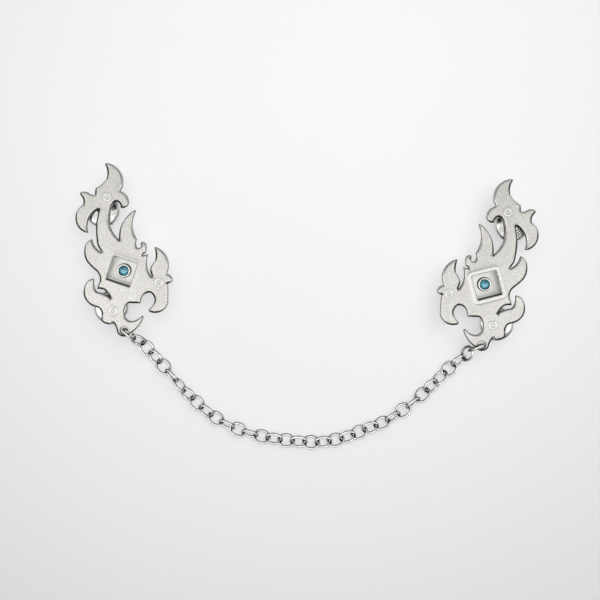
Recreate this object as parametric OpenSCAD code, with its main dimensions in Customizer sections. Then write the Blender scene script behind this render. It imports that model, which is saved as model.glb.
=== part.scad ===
// Collar chain: two mirrored flame plates, each with a stone in a square well,
// pinned on with two butterfly clutches and joined by a cable chain.
// It lies face up: +X to the right, +Y up the plates, +Z up from the surface.

/* [Plates] */
// Thickness of a flame plate
plate_t = 1.5; // [1.2:0.1:1.8]
// Height of the raised band and rings above the plate's face
relief_h = 0.25; // [0.1:0.05:0.4]
// Outer diameter of a raised eye ring
ring_d = 2.8; // [2.2:0.1:3.2]
// Width of a raised eye ring
ring_w = 0.55; // [0.3:0.05:0.8]
// Diameter of the hole that the chain hangs in
eye_d = 2.6; // [2.2:0.1:2.8]

/* [Window and well] */
// Side of the square window
window_w = 8.3; // [7.8:0.1:8.8]
// Width of the raised band round the window
band_w = 1.15; // [0.6:0.05:1.4]
// Depth of the well, from the plate's face to the well's floor
well_depth = 3.2; // [3.0:0.1:3.6]
// Thickness of the well's floor
floor_t = 0.7; // [0.5:0.1:0.9]
// Thickness of the well's walls
wall_t = 0.8; // [0.6:0.1:1.0]
// Outer diameter of the round bezel
bezel_d = 4.4; // [4.2:0.1:4.8]
// Height of the bezel above the well's floor
bezel_h = 0.9; // [0.7:0.1:1.2]

/* [Stone] */
// Diameter of the stone at its girdle
stone_d = 3.4; // [3.2:0.1:3.5]
// Height of the stone's crown, from girdle to table
crown_h = 0.5; // [0.3:0.05:0.6]
// Depth of the stone's pavilion, from girdle to point
pavilion_h = 0.8; // [0.6:0.05:0.9]

/* [Posts and clutches] */
// Diameter of a soldered post
post_d = 1.0; // [0.8:0.05:1.1]
// Diameter of a clutch's round pan
pan_d = 11.5; // [11:0.1:12]
// Height of a clutch from its feet to the top of its pan
clutch_h = 5.8; // [5.5:0.1:6.5]
// Gap between a clutch and the plate it holds
clutch_gap = 0.2; // [0.1:0.05:0.3]

/* [Chain] */
// Diameter of the links' wire
wire_d = 0.85; // [0.75:0.05:0.85]
// Outer width of a link
link_w = 4.9; // [4.8:0.05:5.2]
// Distance from link to link
pitch = 4.3; // [4.28:0.01:4.32]
// Play between two links along the chain
play = 0.2; // [0.16:0.01:0.24]

/* [Layout] */
// Turn of the left plate about its window, anticlockwise in degrees
left_turn = -18.5; // [-20:0.5:-17]
// Turn of the right plate about its window, anticlockwise in degrees
right_turn = 14.3; // [13:0.1:16]

/* [Hidden] */
// Number of links
link_count = 35;
STONE_NODES = ["left_stone", "right_stone"];
PLATE_NODES = ["left_plate", "right_plate"];
CLUTCH_NODES = ["left_crest_clutch", "left_foot_clutch", "right_crest_clutch", "right_foot_clutch"];

// Number of segments of a true circle
round_fn = 48;
// Overlap where two shapes of one solid are joined, and overshoot of a cut
eps = 0.01;
cut = 1;

// Heights above the surface
plate_low = clutch_h + clutch_gap;
plate_top = plate_low + plate_t;
plate_mid = plate_low + plate_t / 2;
floor_top = plate_top - well_depth;

// Places of the two plates in plan
left_at = [-61.7, 12.6];
right_at = [60.5, 7.7];

// Places on a plate, in the left plate's own frame with its window upright; the right
// plate is the mirror image, but its window, rings and posts sit a little differently
eye_at = [7.0, -18.5];
left_window = [0, 0];
left_rings = [[-12.4, 22.0], [12.9, 0.5], [1.4, -13.3]];
left_crest_post = [-13.4, 17.0];
left_foot_post = [-0.2, -13.1];
right_window = [0.5, 0.4];
right_rings = [[-12.3, 22.3], [13.4, 0.9], [1.8, -13.0]];
right_crest_post = [-13.4, 17.6];
right_foot_post = [-0.2, -13.5];

// Outline of a left plate, clockwise from the notch left of the crest.
// Each row is a point and the arc to the next one: x, y, bow. The bow is how far
// the arc stands out from its chord, and it is negative where the outline is hollow.
crest_horn = [
    [-16.7, 21.3, 0.1],
    [-17.2, 23.7, -0.45],
    [-14.8, 27.9, -0.5],
    [-16.9, 32.1, 0.15],
    [-16.3, 32.75, 2.1],
    [-8.75, 26.8, 0]
];
crest_nub = [
    [-9.0, 25.2, 0.9],
    [-5.0, 22.2, 0.65],
    [-7.2, 19.9, -0.3],
    [-8.7, 21.45, -0.5]
];
neck_right = [
    [-10.4, 19.2, -1.75]
];
spear = [
    [-4.4, 9.8, 1.6],
    [-2.5, 20.9, 0.15],
    [-1.95, 20.3, -1.3]
];
curl = [
    [1.35, 11.75, -0.4],
    [2.3, 9.1, -0.3],
    [3.35, 10.1, 0.25],
    [2.95, 11.4, 0.4],
    [5.0, 10.9, 0.1],
    [5.6, 8.3, -0.1]
];
spur = [
    [4.75, 7.2, 0.05],
    [5.6, 7.65, 0],
    [6.3, 8.15, 0.08],
    [6.55, 7.8, -1.0]
];
side_horn = [
    [10.1, 1.3, 0.1],
    [8.6, 3.5, 0.2],
    [9.25, 7.0, -0.3],
    [7.55, 11.05, 0.08],
    [8.1, 11.3, 1.95],
    [14.5, 4.6, 0]
];
side_lobe = [
    [14.6, 4.0, 0.5],
    [17.0, 2.5, 0.3],
    [15.85, 1.0, 0.1],
    [18.0, -5.4, 1.5],
    [13.0, -10.0, 0.1],
    [12.35, -9.3, -0.15]
];
hook_gap = [
    [13.4, -6.8, -0.65],
    [11.3, -3.85, -0.65],
    [9.05, -6.6, 0],
    [9.2, -8.3, 0],
    [5.6, -9.4, -0.27],
    [4.8, -11.4, -0.85],
    [7.4, -14.85, -0.45]
];
claw = [
    [10.2, -13.1, 0],
    [11.1, -11.85, 0.15],
    [11.75, -12.6, 0.6]
];
eye_boss = [
    [9.2, -18.8, 0.55],
    [6.9, -20.65, 0.5],
    [4.5, -19.2, -0.15]
];
foot = [
    [2.4, -17.1, 0],
    [2.2, -18.0, 0.45],
    [-1.4, -17.9, 0],
    [-1.85, -16.4, -0.7]
];
fang = [
    [-4.2, -14.15, 0.8],
    [-9.5, -11.9, 0.47],
    [-10.15, -7.3, 0.35],
    [-8.4, -5.4, 0.1],
    [-7.95, -5.6, -0.3],
    [-6.3, -8.8, 0],
    [-5.6, -9.15, 0.1],
    [-3.4, -9.1, 0.1]
];
flank = [
    [-1.1, -9.55, -0.2],
    [-3.8, -7.8, -0.1],
    [-6.1, -8.3, 0.05],
    [-6.05, -6.0, -0.7],
    [-8.6, -2.6, 0.05]
];
left_flame = [
    [-11.6, -1.15, 0.7],
    [-14.45, 3.8, 0.45],
    [-13.1, 6.95, 0.08],
    [-12.6, 6.55, -0.55]
];
neck_left = [
    [-8.5, 3.8, 0.05],
    [-10.6, 5.6, 0.2],
    [-13.3, 12.2, 0.05]
];
flap = [
    [-13.8, 17.1, -0.6],
    [-16.1, 12.8, -0.3],
    [-15.1, 9.1, 0],
    [-14.8, 8.65, 0.1],
    [-16.0, 8.3, 1.2],
    [-20.7, 13.0, 0.5],
    [-19.4, 17.0, -0.15]
];
flap_horn = [
    [-20.3, 19.0, 0.05],
    [-21.7, 20.1, 0.15],
    [-21.1, 21.0, 0.3],
    [-18.5, 21.2, -0.12]
];
outline = concat(crest_horn, crest_nub, neck_right, spear, curl, spur, side_horn, side_lobe,
                 hook_gap, claw, eye_boss, foot, fang, flank, left_flame, neck_left, flap, flap_horn);

// Well and bezel
well_w = window_w + 2 * wall_t;
well_low = floor_top - floor_t;
stone_gap = 0.05;
seat_d = stone_d + 2 * stone_gap;
seat_drop = 0.18;
ledge_d = stone_d - 0.4;
girdle_h = 0.12;
girdle_z = floor_top + bezel_h - crown_h * 0.75;
table_share = 0.56;
table_d = stone_d * table_share;

// Clutch: its pan is flat in the middle, then domed, and rolled down at the rim
pan_t = 0.45;
pan_flat_d = 4.0;
dome_turn = 10;
edge_r = 1.2;
dome_r = edge_r + (pan_d / 2 - edge_r - pan_flat_d / 2) / sin(dome_turn);
cup_d = 6.6;
cup_low = 0.8;
cup_round = 0.8;
wing_reach = 4.6;
wing_r = 2.7;
wing_t = 0.5;
wing_w = 4.0;
wing_from = 100;
wing_to = 284;
dimple_d = 2.8;
dimple_h = 0.5;
bore_gap = 0.05;
bore_low = 1.1;
post_low = 1.3;
post_tip = 0.5;

// Links: radius and half length of the wire's middle line, and the rolls that alternate
bend_r = (link_w - wire_d) / 2;
link_l = pitch + 2 * wire_d + play;
half_l = (link_l - wire_d) / 2;
odd_roll = -38;
even_roll = 20;

// Links that lie turned otherwise than the rest: number, roll
end_rolls = [[1, 90], [2, 25], [3, -35], [33, 40], [34, -52], [35, 75]];
left_rolls = [[4, 28], [5, -25], [6, 54], [7, -75], [8, 28], [10, 33]];
middle_rolls = [[12, 48], [13, -8], [14, 48]];
right_rolls = [[25, -50], [26, 45], [27, -10], [28, 54], [31, -60], [32, -10]];
turned_links = concat(end_rolls, left_rolls, middle_rolls, right_rolls);

// Joints that lead up to the eyes: number of the link before, height
high_joints = [
    [0, 7.2],
    [1, 4.6],
    [2, 2.2],
    [33, 2.3],
    [34, 4.6],
    [35, 7.3]
];
// Way that the first two links take out of each eye: degrees anticlockwise from +X
left_headings = [-46, -50];
right_headings = [-144, -120];
// Distance from the middle of an eye to the joint in it
eye_reach = 0.25;

// Plan of the chain between its second link and its last but one: x, y, bow
chain_run = [
    [-51.8, -17.5, -0.1],
    [-45.3, -24.5, 0],
    [-38.2, -32.6, -0.2],
    [-31.2, -38.3, -0.9],
    [-13.1, -45.0, -0.4],
    [4.5, -46.6, -0.9],
    [20.8, -41.7, -0.8],
    [33.9, -34.7, -0.5],
    [44.9, -24.7, 0.1]
];

function link_name(i) = str("link_", i < 10 ? "0" : "", i);
function flip(at) = [-at.x, at.y];
function window_at(side) = side == "left" ? left_window : right_window;
function polar(a) = [cos(a), sin(a)];
function turned(p, a) = [p.x * cos(a) - p.y * sin(a), p.x * sin(a) + p.y * cos(a)];
function looked_up(table, key, other) =
    let (found = search([key], table)[0]) found == [] ? other : table[found][1];

// Points of the arc from p towards q, without q, close enough to the arc for a smooth edge
function arc_points(p, q, bow, fine = 0.02) =
    bow == 0 ? [p] :
    let (
        chord = norm(q - p),
        along = (q - p) / chord,
        out = [-along.y, along.x],
        half = 2 * atan(2 * bow / chord),
        r = chord / (2 * sin(half)),
        steps = max(2, ceil(abs(half) / acos(1 - fine / abs(r))))
    )
    [for (i = [0 : steps - 1])
        let (a = half * (2 * i / steps - 1))
        (p + q) / 2 + along * r * sin(a) + out * r * (cos(a) - cos(half))];

// Points of a closed outline, and of an open run that keeps its last row
function closed_points(rows) = [for (i = [0 : len(rows) - 1])
    let (next = rows[(i + 1) % len(rows)])
    each arc_points([rows[i].x, rows[i].y], [next.x, next.y], rows[i][2])];
function open_points(rows) = concat(
    [for (i = [0 : len(rows) - 2])
        each arc_points([rows[i].x, rows[i].y], [rows[i + 1].x, rows[i + 1].y], rows[i][2])],
    [[rows[len(rows) - 1].x, rows[len(rows) - 1].y]]);

// Lengths along a run of points, and the point at one length
function lengths(points) = [for (i = 0, s = 0; i < len(points);
    i = i + 1, s = i < len(points) ? s + norm(points[i] - points[i - 1]) : s) s];
function point_at(points, sums, s) =
    let (
        i = min([for (k = [1 : len(sums) - 1]) if (sums[k] >= s - eps || k == len(sums) - 1) k]),
        share = (s - sums[i - 1]) / (sums[i] - sums[i - 1])
    )
    points[i - 1] + (points[i] - points[i - 1]) * share;

// Joints of the chain: the first and last three lead out of the eyes, the rest lie on the run
function lie_z(i) = bend_r * abs(sin(link_roll(i))) + wire_d / 2;
function joint_z(k) = looked_up(high_joints, k, max(lie_z(k), lie_z(k + 1)));
function level_step(k) = sqrt(pow(pitch, 2) - pow(joint_z(k + 1) - joint_z(k), 2));
left_eye = left_at + turned(eye_at, left_turn);
right_eye = right_at + turned(flip(eye_at), right_turn);
left_end_1 = left_eye + eye_reach * polar(left_headings[0]);
left_end_2 = left_end_1 + level_step(0) * polar(left_headings[0]);
left_end_3 = left_end_2 + level_step(1) * polar(left_headings[1]);
right_end_1 = right_eye + eye_reach * polar(right_headings[0]);
right_end_2 = right_end_1 + level_step(link_count - 1) * polar(right_headings[0]);
right_end_3 = right_end_2 + level_step(link_count - 2) * polar(right_headings[1]);
run_from = [left_end_3.x, left_end_3.y, 0];
run_to = [right_end_3.x, right_end_3.y, 0];
run_points = open_points(concat([run_from], chain_run, [run_to]));
run_sums = lengths(run_points);
run_step = run_sums[len(run_sums) - 1] / (link_count - 4);
function joint_plan(k) =
    k == 0 ? left_end_1 :
    k == 1 ? left_end_2 :
    k == link_count ? right_end_1 :
    k == link_count - 1 ? right_end_2 :
    point_at(run_points, run_sums, (k - 2) * run_step);
function joint(k) = [joint_plan(k).x, joint_plan(k).y, joint_z(k)];
function link_roll(i) = looked_up(turned_links, i, i % 2 == 0 ? even_roll : odd_roll);

// Puts a left plate's frame on the left, or its mirror image on the right
module placed(side) {
    if (side == "left")
        translate([left_at.x, left_at.y, 0]) rotate([0, 0, left_turn]) children();
    else
        translate([right_at.x, right_at.y, 0]) rotate([0, 0, right_turn]) mirror([1, 0, 0]) children();
}

module rounded_square(w, r) {
    for (a = [0 : 90 : 270])
        rotate([0, 0, a]) translate([w / 2 - r, w / 2 - r]) circle(r, $fn = round_fn);
    square([w, w - 2 * r], center = true);
    square([w - 2 * r, w], center = true);
}

module post(at) {
    translate([at.x, at.y, 0])
        rotate_extrude($fn = round_fn)
            polygon([
                [0, post_low],
                [post_d / 4, post_low],
                [post_d / 2, post_low + post_tip],
                [post_d / 2, plate_low + eps],
                [0, plate_low + eps]
            ]);
}

// Flame plate with the square well behind its window, the bezel on the well's floor,
// the raised band and rings on its face and the two posts on its back
module plate(side, rings, crest_post, foot_post) {
    window = window_at(side);
    placed(side) color("silver") {
        difference() {
            union() {
                translate([0, 0, plate_low]) linear_extrude(plate_t) polygon(closed_points(outline));
                translate([window.x, window.y, plate_top - eps])
                    linear_extrude(relief_h + eps) rounded_square(window_w + 2 * band_w, band_w);
                translate([window.x, window.y, well_low])
                    linear_extrude(plate_mid - well_low) square(well_w, center = true);
            }
            translate([window.x, window.y, floor_top])
                linear_extrude(well_depth + cut) square(window_w, center = true);
            translate([window.x, window.y, well_low - cut])
                cylinder(d = ledge_d, h = floor_t + 2 * cut, $fn = round_fn);
            translate([eye_at.x, eye_at.y, plate_low - cut])
                cylinder(d = eye_d, h = plate_t + 2 * cut, $fn = round_fn);
        }
        translate([window.x, window.y, 0]) bezel();
        for (at = rings) translate([at.x, at.y, plate_top - eps]) eye_ring();
        post(crest_post);
        post(foot_post);
    }
}

module eye_ring() {
    difference() {
        cylinder(d = ring_d, h = relief_h + eps, $fn = round_fn);
        translate([0, 0, -eps]) cylinder(d = ring_d - 2 * ring_w, h = relief_h + 3 * eps, $fn = round_fn);
    }
}

module bezel() {
    difference() {
        translate([0, 0, floor_top - eps]) cylinder(d = bezel_d, h = bezel_h + eps, $fn = round_fn);
        translate([0, 0, floor_top - cut]) cylinder(d = ledge_d, h = bezel_h + 2 * cut, $fn = round_fn);
        translate([0, 0, girdle_z - seat_drop]) cylinder(d = seat_d, h = bezel_h + cut, $fn = round_fn);
    }
}

// Round brilliant cut: an eight-sided table, star, kite and girdle facets, and a pavilion of eight
function ring_points(d, z, n, from) = [for (k = [0 : n - 1])
    let (a = from + 360 * k / n) [d / 2 * cos(a), d / 2 * sin(a), z]];
module stone(side) {
    kite_d = (table_d + stone_d) / 2 * 1.04;
    points = concat(
        ring_points(table_d, crown_h, 8, 22.5),
        ring_points(kite_d, crown_h * 0.55, 8, 0),
        ring_points(stone_d, girdle_h / 2, 16, 0),
        ring_points(stone_d, -girdle_h / 2, 16, 0),
        [[0, 0, -pavilion_h]]
    );
    table = [for (k = [7 : -1 : 0]) k];
    stars = [for (k = [0 : 7]) [k, (k + 1) % 8, 8 + (k + 1) % 8]];
    kites = [for (k = [0 : 7]) [k, 8 + (k + 1) % 8, 16 + (2 * k + 1) % 16, 8 + k]];
    upper = [for (k = [0 : 7]) each [
        [8 + k, 16 + (2 * k + 1) % 16, 16 + 2 * k],
        [8 + k, 16 + 2 * k, 16 + (2 * k + 15) % 16]
    ]];
    girdle = [for (k = [0 : 15]) [16 + k, 16 + (k + 1) % 16, 32 + (k + 1) % 16, 32 + k]];
    lower = [for (k = [0 : 15]) [32 + k, 32 + (k + 1) % 16, 48]];
    placed(side) translate(window_at(side)) color("deepskyblue") translate([0, 0, girdle_z])
        polyhedron(points, concat([table], stars, kites, upper, girdle, lower));
}

module clutch(side, at, wing_turn) {
    placed(side) translate([at.x, at.y, 0]) rotate([0, 0, wing_turn]) color("gainsboro") {
        difference() {
            union() {
                pan();
                cup();
                for (way = [0, 180]) rotate([0, 0, way]) wing();
            }
            translate([0, 0, bore_low]) cylinder(d = post_d + 2 * bore_gap, h = clutch_h, $fn = round_fn);
            translate([0, 0, clutch_h - dimple_h])
                cylinder(d1 = post_d + 2 * bore_gap, d2 = dimple_d, h = dimple_h + eps, $fn = round_fn);
        }
    }
}

// Domed pan: the curve of its upper side, moved down into the sheet by under
function pan_curve(under) = concat(
    [[0, clutch_h - under]],
    [for (a = [0 : 2 : dome_turn])
        [pan_flat_d / 2, clutch_h - dome_r] + (dome_r - under) * [sin(a), cos(a)]],
    [for (a = [dome_turn + 8 : 8 : 90])
        [pan_flat_d / 2, clutch_h - dome_r] + (dome_r - edge_r) * [sin(dome_turn), cos(dome_turn)]
            + (edge_r - under) * [sin(a), cos(a)]]);

module pan() {
    low = pan_curve(pan_t);
    rotate_extrude($fn = round_fn)
        polygon(concat(pan_curve(0), [for (i = [len(low) - 1 : -1 : 0]) low[i]]));
}

module cup() {
    rotate_extrude($fn = round_fn) {
        translate([0, cup_low]) square([cup_d / 2 - cup_round, clutch_h - pan_t / 2 - cup_low]);
        translate([0, cup_low + cup_round]) square([cup_d / 2, clutch_h - pan_t / 2 - cup_low - cup_round]);
        translate([cup_d / 2 - cup_round, cup_low + cup_round])
            intersection() {
                circle(cup_round, $fn = round_fn);
                translate([-eps, -2 * cup_round]) square([2 * cup_round, 2 * cup_round + eps]);
            }
    }
}

// Curved wing of a clutch; its lowest line is what the clutch stands on
module wing() {
    far = 4 * wing_r;
    rotate([90, 0, 0]) translate([wing_reach, wing_r, -wing_w / 2]) linear_extrude(wing_w)
        intersection() {
            difference() {
                circle(wing_r, $fn = round_fn);
                circle(wing_r - wing_t, $fn = round_fn);
            }
            polygon([
                [0, 0],
                far * polar(wing_from),
                far * polar((wing_from + 180) / 2 + 22),
                far * polar((wing_to + 180) / 2),
                far * polar(wing_to)
            ]);
        }
}

// One oval link in the XY plane, long along X
module oval_link() {
    straight = half_l - bend_r;
    for (way = [0, 180]) rotate([0, 0, way]) {
        translate([straight, 0, 0]) rotate([0, 0, -90]) rotate_extrude(angle = 180, $fn = round_fn)
            translate([bend_r, 0]) circle(d = wire_d, $fn = round_fn);
        translate([-straight, bend_r, 0]) rotate([0, 90, 0])
            cylinder(d = wire_d, h = 2 * straight, $fn = round_fn);
    }
}

module chain_link(i) {
    from = joint(i - 1);
    to = joint(i);
    way = to - from;
    heading = atan2(way.y, way.x);
    fall = atan2(-way.z, norm([way.x, way.y]));
    color("silver") translate((from + to) / 2) rotate([link_roll(i), fall, heading]) oval_link();
}

plate("left", left_rings, left_crest_post, left_foot_post);  // left_plate
plate("right", right_rings, right_crest_post, right_foot_post);  // right_plate
stone("left");  // left_stone
stone("right");  // right_stone
clutch("left", left_crest_post, 112);  // left_crest_clutch
clutch("left", left_foot_post, -110);  // left_foot_clutch
clutch("right", right_crest_post, 60);  // right_crest_clutch
clutch("right", right_foot_post, -105);  // right_foot_clutch
for (i = [1 : link_count])
    chain_link(i);
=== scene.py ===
import math

import bmesh
import bpy
import numpy as np
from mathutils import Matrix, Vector
from mathutils.geometry import delaunay_2d_cdt


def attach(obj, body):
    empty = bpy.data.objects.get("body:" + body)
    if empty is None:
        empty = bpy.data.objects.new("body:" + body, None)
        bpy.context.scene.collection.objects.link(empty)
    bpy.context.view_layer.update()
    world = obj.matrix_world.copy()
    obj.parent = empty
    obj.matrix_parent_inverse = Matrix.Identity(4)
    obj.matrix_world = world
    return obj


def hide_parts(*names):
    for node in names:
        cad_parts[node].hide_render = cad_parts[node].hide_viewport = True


# Collar chain: two flame plates with stones and clutches, joined by a cable chain.
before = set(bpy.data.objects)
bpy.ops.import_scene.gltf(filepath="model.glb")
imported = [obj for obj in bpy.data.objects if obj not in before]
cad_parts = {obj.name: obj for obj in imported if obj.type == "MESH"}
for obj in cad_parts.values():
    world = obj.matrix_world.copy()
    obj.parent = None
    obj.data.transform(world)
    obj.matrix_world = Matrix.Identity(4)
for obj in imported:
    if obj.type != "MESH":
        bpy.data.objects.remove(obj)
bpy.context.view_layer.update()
MM = 0.001

# Plate, in millimetres, with the same sizes as in the part's source
CLUTCH_H = 5.8
CLUTCH_GAP = 0.2
PLATE_T = 1.5
PLATE_LOW = CLUTCH_H + CLUTCH_GAP
PLATE_TOP = PLATE_LOW + PLATE_T
RING_D = 2.8
RING_W = 0.55
EYE_AT = (7.0, -18.5)
EYE_R = 1.3
POST_R = 0.5
POST_LOW = 1.3

# Window, well and stone
WINDOW_W = 8.3
BAND_W = 1.15
WALL_T = 0.8
WELL_W = WINDOW_W + 2 * WALL_T
WELL_DEPTH = 3.2
FLOOR_T = 0.7
FLOOR_TOP = PLATE_TOP - WELL_DEPTH
WELL_LOW = FLOOR_TOP - FLOOR_T
BEZEL_R = 2.2
BEZEL_TOP = FLOOR_TOP + 0.9
STONE_R = 1.7
CROWN_H = 0.5
PAVILION_H = 0.8
HALF_GIRDLE = 0.06
TABLE_SHARE = 0.56
KITE_SHARE = 0.81
KITE_RISE = 0.55
GIRDLE_Z = BEZEL_TOP - 0.75 * CROWN_H
SEAT_R = STONE_R + 0.05
SEAT_DROP = 0.18
LEDGE_R = STONE_R - 0.2

# Rounding, corners and relief as the scene draws them
TOP_ROUND = 0.7
LOW_ROUND = 0.7
WINDOW_ROUND = 0.1
EYE_ROUND = 0.2
WINDOW_CORNER = 0.25
WELL_CORNER = 0.3
RING_SWELL = 0.09
RING_FOOT = 0.08
RING_SHOULDER = 0.2
BAND_FOOT = 0.06
BAND_SHOULDER = 0.4
FLOOR_ROUND = 0.12
SHADED_ROWS = 3

# Clutch: a pan that is flat, then domed, then rolled down, over a cup with two wings
PAN_R = 5.75
PAN_T = 0.45
PAN_FLAT_R = 2.0
DOME_TURN = 10
EDGE_R = 1.2
DOME_R = EDGE_R + (PAN_R - EDGE_R - PAN_FLAT_R) / math.sin(math.radians(DOME_TURN))
CUP_R = 3.3
CUP_LOW = 0.8
CUP_ROUND = 0.8
BORE_R = 0.55
BORE_LOW = 1.1
DIMPLE_R = 1.4
DIMPLE_H = 0.5
RUNG_STEP = 0.74
RUNG_DEPTH = 0.07
RUNG_RANGE = (2.1, 4.85)
RUNG_TURN = 2
RUNG_HALF_ARC = 22
WING_AT = (4.6, 2.7)
WING_R = 2.7
WING_T = 0.5
WING_W = 4.0
WING_ROUND = 0.12
WING_ARC = (100, 284)

# Link: the wire's middle line is an oval of four arcs
WIRE_R = 0.425
WIRE_SIDES = 14
END_R, END_AT = 1.7, 0.975
SIDE_R, SIDE_AT = 3.325, -1.3
OVAL_TURN = math.acos(0.6)

# Distances from an edge at which a plate's face and back have points
RIM_STEPS = (0.03, 0.08, 0.15, 0.24, 0.36, 0.5, 0.68, 0.88)
WINDOW_STEPS = (0.04, 0.09, 0.18)
EYE_STEPS = (0.05, 0.12, 0.2)
BAND_STEPS = (-0.5, -0.36, -0.22, -0.08, 0.06)
RING_STEPS = (0.16, 0.06, -0.04, -0.13, -0.2, -0.275, -0.35, -0.42, -0.51, -0.61, -0.71)
BACK_STEPS = (0.04, 0.12, 0.24, 0.4, 0.58, 0.74)

# The gap that these points keep from the edges of the face's and the back's openings
FACE_GAP = 0.03
BACK_GAP = 0.05

# Elsewhere the face has a grid of points, which keeps clear of the rim, the band and the rings
GRID_STEP = 0.9
GRID_X = (-23, 20)
GRID_Y = (-22, 34)
CLEAR_OF_RIM = 1.2
CLEAR_OF_BAND = 0.7
CLEAR_OF_RING = 0.6

# How dark the painted shade is at the face's rim, where its line is widest towards the foot end
RIM_DARK = 0.6
RIM_LINE = 0.06
FOOT_LINE = 0.56
FOOT_WAY = np.array([-0.35, -0.94])

# Where each plate lies and, in the left plate's own frame, what sits on it. The band of the
# window has a height, a brightness that is partly polish and partly painted highlight, stronger
# on the right plate, and what it is wider by than in the source.
SIDES = {
    "left": {
        "at": (-61.7, 12.6), "turn": -18.5, "flip": 1,
        "window": (0.0, 0.0), "band_h": 0.06, "band_polish_and_sheen": 0.1, "band_more": 0.0,
        "rings": ((-12.4, 22.0), (12.9, 0.5), (1.4, -13.3)),
        "clutches": {"left_crest": ((-13.4, 17.0), 112), "left_foot": ((-0.2, -13.1), -110)},
    },
    "right": {
        "at": (60.5, 7.7), "turn": 14.3, "flip": -1,
        "window": (0.5, 0.4), "band_h": 0.16, "band_polish_and_sheen": 0.45, "band_more": 0.4,
        "rings": ((-12.3, 22.3), (13.4, 0.9), (1.8, -13.0)),
        "clutches": {"right_crest": ((-13.4, 17.6), 60), "right_foot": ((-0.2, -13.5), -105)},
    },
}

# Outline of a left plate, clockwise: x, y, bow of the arc to the next point
OUTLINE = {
    "crest_horn": [(-16.7, 21.3, 0.1), (-17.2, 23.7, -0.45), (-14.8, 27.9, -0.5),
                   (-16.9, 32.1, 0.15), (-16.3, 32.75, 2.1), (-8.75, 26.8, 0)],
    "crest_nub": [(-9.0, 25.2, 0.9), (-5.0, 22.2, 0.65), (-7.2, 19.9, -0.3), (-8.7, 21.45, -0.5)],
    "neck_right": [(-10.4, 19.2, -1.75)],
    "spear": [(-4.4, 9.8, 1.6), (-2.5, 20.9, 0.15), (-1.95, 20.3, -1.3)],
    "curl": [(1.35, 11.75, -0.4), (2.3, 9.1, -0.3), (3.35, 10.1, 0.25),
             (2.95, 11.4, 0.4), (5.0, 10.9, 0.1), (5.6, 8.3, -0.1)],
    "spur": [(4.75, 7.2, 0.05), (5.6, 7.65, 0), (6.3, 8.15, 0.08), (6.55, 7.8, -1.0)],
    "side_horn": [(10.1, 1.3, 0.1), (8.6, 3.5, 0.2), (9.25, 7.0, -0.3),
                  (7.55, 11.05, 0.08), (8.1, 11.3, 1.95), (14.5, 4.6, 0)],
    "side_lobe": [(14.6, 4.0, 0.5), (17.0, 2.5, 0.3), (15.85, 1.0, 0.1),
                  (18.0, -5.4, 1.5), (13.0, -10.0, 0.1), (12.35, -9.3, -0.15)],
    "hook_gap": [(13.4, -6.8, -0.65), (11.3, -3.85, -0.65), (9.05, -6.6, 0), (9.2, -8.3, 0),
                 (5.6, -9.4, -0.27), (4.8, -11.4, -0.85), (7.4, -14.85, -0.45)],
    "claw": [(10.2, -13.1, 0), (11.1, -11.85, 0.15), (11.75, -12.6, 0.6)],
    "eye_boss": [(9.2, -18.8, 0.55), (6.9, -20.65, 0.5), (4.5, -19.2, -0.15)],
    "foot": [(2.4, -17.1, 0), (2.2, -18.0, 0.45), (-1.4, -17.9, 0), (-1.85, -16.4, -0.7)],
    "fang": [(-4.2, -14.15, 0.8), (-9.5, -11.9, 0.47), (-10.15, -7.3, 0.35), (-8.4, -5.4, 0.1),
             (-7.95, -5.6, -0.3), (-6.3, -8.8, 0), (-5.6, -9.15, 0.1), (-3.4, -9.1, 0.1)],
    "flank": [(-1.1, -9.55, -0.2), (-3.8, -7.8, -0.1), (-6.1, -8.3, 0.05),
              (-6.05, -6.0, -0.7), (-8.6, -2.6, 0.05)],
    "left_flame": [(-11.6, -1.15, 0.7), (-14.45, 3.8, 0.45), (-13.1, 6.95, 0.08),
                   (-12.6, 6.55, -0.55)],
    "neck_left": [(-8.5, 3.8, 0.05), (-10.6, 5.6, 0.2), (-13.3, 12.2, 0.05)],
    "flap": [(-13.8, 17.1, -0.6), (-16.1, 12.8, -0.3), (-15.1, 9.1, 0), (-14.8, 8.65, 0.1),
             (-16.0, 8.3, 1.2), (-20.7, 13.0, 0.5), (-19.4, 17.0, -0.15)],
    "flap_horn": [(-20.3, 19.0, 0.05), (-21.7, 20.1, 0.15), (-21.1, 21.0, 0.3),
                  (-18.5, 21.2, -0.12)],
}


# Flat shapes
def smooth(t):
    """From 0 to 1 with a soft start and end, as t goes from 0 to 1."""
    t = np.clip(t, 0, 1)
    return t * t * (3 - 2 * t)


def fading(distance, start, width):
    """1 up to the start, then falling softly to 0 over the width."""
    return 1 - smooth((distance - start) / width)


def arc_points(p, q, bow, fine=0.005):
    """Points of the arc from p towards q, without q, no further than fine from the arc."""
    p, q = np.array(p, float), np.array(q, float)
    if bow == 0:
        return [p]
    chord = np.linalg.norm(q - p)
    along = (q - p) / chord
    out = np.array([-along[1], along[0]])
    half = 2 * math.atan(2 * bow / chord)
    r = chord / (2 * math.sin(half))
    steps = max(2, math.ceil(abs(half) / math.acos(1 - fine / abs(r))))
    ways = [half * (2 * i / steps - 1) for i in range(steps)]
    return [(p + q) / 2 + along * r * math.sin(a) + out * r * (math.cos(a) - math.cos(half))
            for a in ways]


def edge_ways(loop):
    """The middle of each edge of an anticlockwise loop, and the way that it faces."""
    after = np.roll(loop, -1, axis=0)
    edge = after - loop
    way = np.column_stack([edge[:, 1], -edge[:, 0]]) / np.linalg.norm(edge, axis=1)[:, None]
    return (loop + after) / 2, way


def grown(loop, by):
    """The loop moved outwards by a small distance."""
    _, way = edge_ways(loop)
    corner = way + np.roll(way, 1, axis=0)
    corner /= np.maximum((corner * corner).sum(axis=1) / 2, 0.6)[:, None]
    return loop + corner * by


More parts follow.
